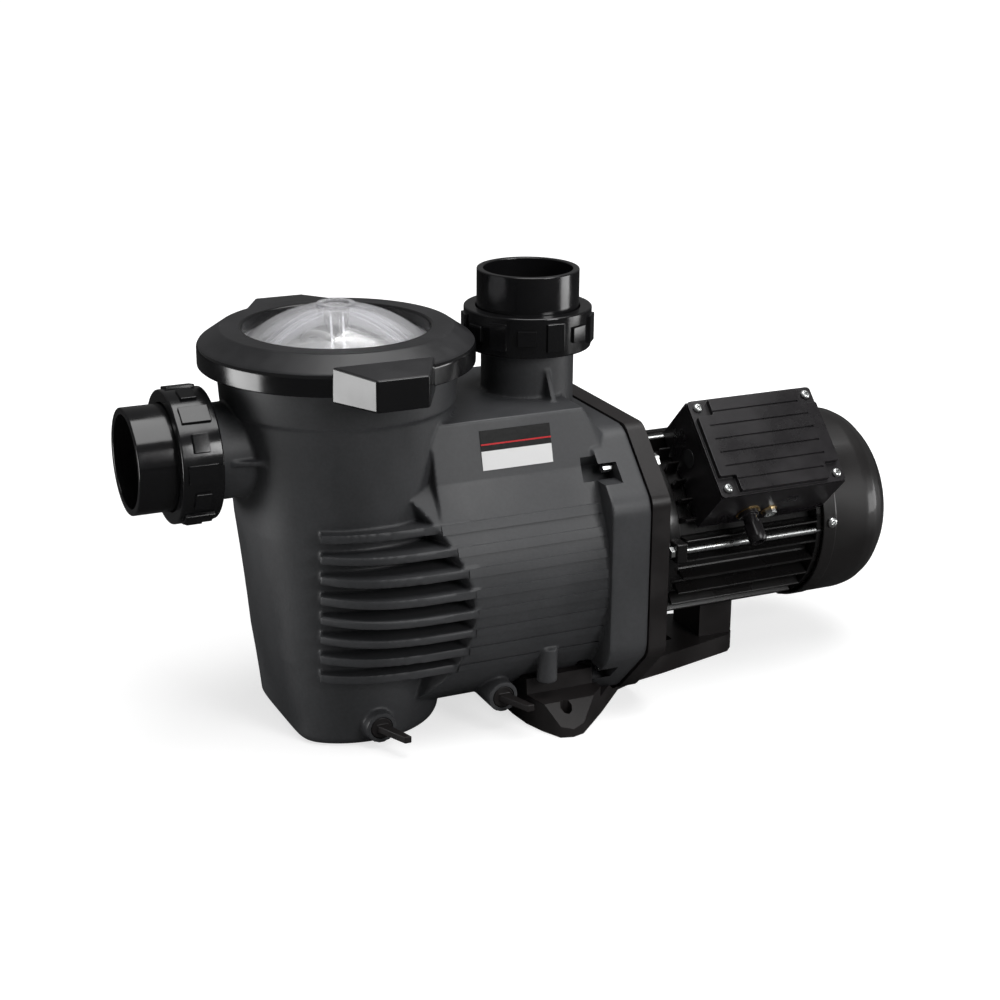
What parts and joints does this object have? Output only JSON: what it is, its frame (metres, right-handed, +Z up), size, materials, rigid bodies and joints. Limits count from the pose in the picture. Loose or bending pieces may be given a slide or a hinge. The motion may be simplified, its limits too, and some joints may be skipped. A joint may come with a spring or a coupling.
{
  "type": "pool pump",
  "caption": "Black pool pump with a strainer tank, clear screw-down lid, two union ports and a finned electric motor on a low base.",
  "frame": {"origin": "under the strainer tank, where its vertical axis meets the ground", "axes": "+X along the motor towards its fan cover, +Z up"},
  "size_m": [0.578, 0.244, 0.3103],
  "materials": {
    "pump_body_plastic": "moulded charcoal plastic, faintly mottled",
    "gloss_black_plastic": "gloss black",
    "satin_black_plastic": "satin black",
    "white_plastic": "satin white",
    "clear_plastic": "clear moulded plastic",
    "rubber": "matte black",
    "motor_paint": "gloss black paint",
    "zinc_steel": "zinc plated",
    "machined_steel": "machined",
    "copper": "varnished copper wire",
    "aluminium": "drawn can",
    "seal_carbon": "carbon with a rubber bellows",
    "seal_ceramic": "white ceramic"
  },
  "bodies": {
    "pump": {"base": "satin_black_plastic", "base_screw_far": "zinc_steel", "base_screw_near": "zinc_steel", "cable_gland": "satin_black_plastic", "cable_gland_nut": "satin_black_plastic", "casing_bolt_1": "zinc_steel", "casing_bolt_2": "zinc_steel", "casing_bolt_3": "zinc_steel", "casing_bolt_4": "zinc_steel", "casing_o_ring": "rubber", "cover_screw_1": "zinc_steel", "cover_screw_2": "zinc_steel", "cover_screw_3": "zinc_steel", "cover_screw_4": "zinc_steel", "diffuser": "satin_black_plastic", "discharge_o_ring": "rubber", "discharge_union_tail": "gloss_black_plastic", "fan_cover": "motor_paint", "front_bearing": "machined_steel", "front_end_shield": "motor_paint", "ground_screw": "zinc_steel", "lid_screw_1": "zinc_steel", "lid_screw_2": "zinc_steel", "lid_screw_3": "zinc_steel", "lid_screw_4": "zinc_steel", "motor_housing": "motor_paint", "pump_body": "pump_body_plastic", "rear_bearing": "machined_steel", "rear_end_shield": "motor_paint", "run_capacitor": "aluminium", "seal_plate": "satin_black_plastic", "seal_seat": "seal_ceramic", "stator_core": "machined_steel", "stator_winding": "copper", "suction_o_ring": "rubber", "suction_union_tail": "gloss_black_plastic", "terminal_block": "white_plastic", "terminal_box": "satin_black_plastic", "terminal_box_lid": "satin_black_plastic", "tie_rod_1": "zinc_steel", "tie_rod_2": "zinc_steel", "tie_rod_3": "zinc_steel", "tie_rod_4": "zinc_steel"},
    "rotor": {"motor_shaft": "machined_steel", "rotor_core": "machined_steel", "impeller": "white_plastic", "seal_head": "seal_carbon", "cooling_fan": "satin_black_plastic"},
    "lid": {"lid_lens": "clear_plastic", "lid_o_ring": "rubber"},
    "locking_ring": {"lock_ring": "gloss_black_plastic"},
    "basket": {"strainer_basket": "white_plastic"},
    "suction_nut": {"suction_union_nut": "gloss_black_plastic"},
    "discharge_nut": {"discharge_union_nut": "gloss_black_plastic"},
    "tank_plug": {"tank_drain_plug": "satin_black_plastic", "tank_drain_o_ring": "rubber"},
    "volute_plug": {"volute_drain_plug": "satin_black_plastic", "volute_drain_o_ring": "rubber"}
  },
  "joints": [
    {"name": "rotor_spin", "type": "hinge", "parent": "pump", "child": "rotor", "pos_m": [0.25, 0, 0.106], "axis": [1, 0, 0], "continuous": true},
    {"name": "lid_lift", "type": "slide", "parent": "pump", "child": "lid", "axis": [0, 0, 1], "range_m": [0, 0.25]},
    {"name": "ring_turn", "type": "hinge", "parent": "lid", "child": "locking_ring", "pos_m": [0, 0, 0.27], "axis": [0, 0, 1], "range_deg": [0, 55]},
    {"name": "basket_lift", "type": "slide", "parent": "pump", "child": "basket", "axis": [0, 0, 1], "range_m": [0, 0.15]},
    {"name": "suction_nut_turn", "type": "hinge", "parent": "pump", "child": "suction_nut", "pos_m": [-0.11, 0, 0.204], "axis": [1, 0, 0], "range_deg": [0, 360]},
    {"name": "discharge_nut_turn", "type": "hinge", "parent": "pump", "child": "discharge_nut", "pos_m": [0.1436, 0, 0.27], "axis": [0, 0, 1], "range_deg": [0, 360]},
    {"name": "tank_plug_turn", "type": "hinge", "parent": "pump", "child": "tank_plug", "pos_m": [0, -0.08, 0.015], "axis": [0, 1, 0], "range_deg": [0, 360]},
    {"name": "volute_plug_turn", "type": "hinge", "parent": "pump", "child": "volute_plug", "pos_m": [0.088, -0.09, 0.026], "axis": [0, 1, 0], "range_deg": [0, 360]}
  ],
  "couplings": [
    {"joint": "basket_lift", "follows": "lid_lift", "ratio": 0.6}
  ]
}
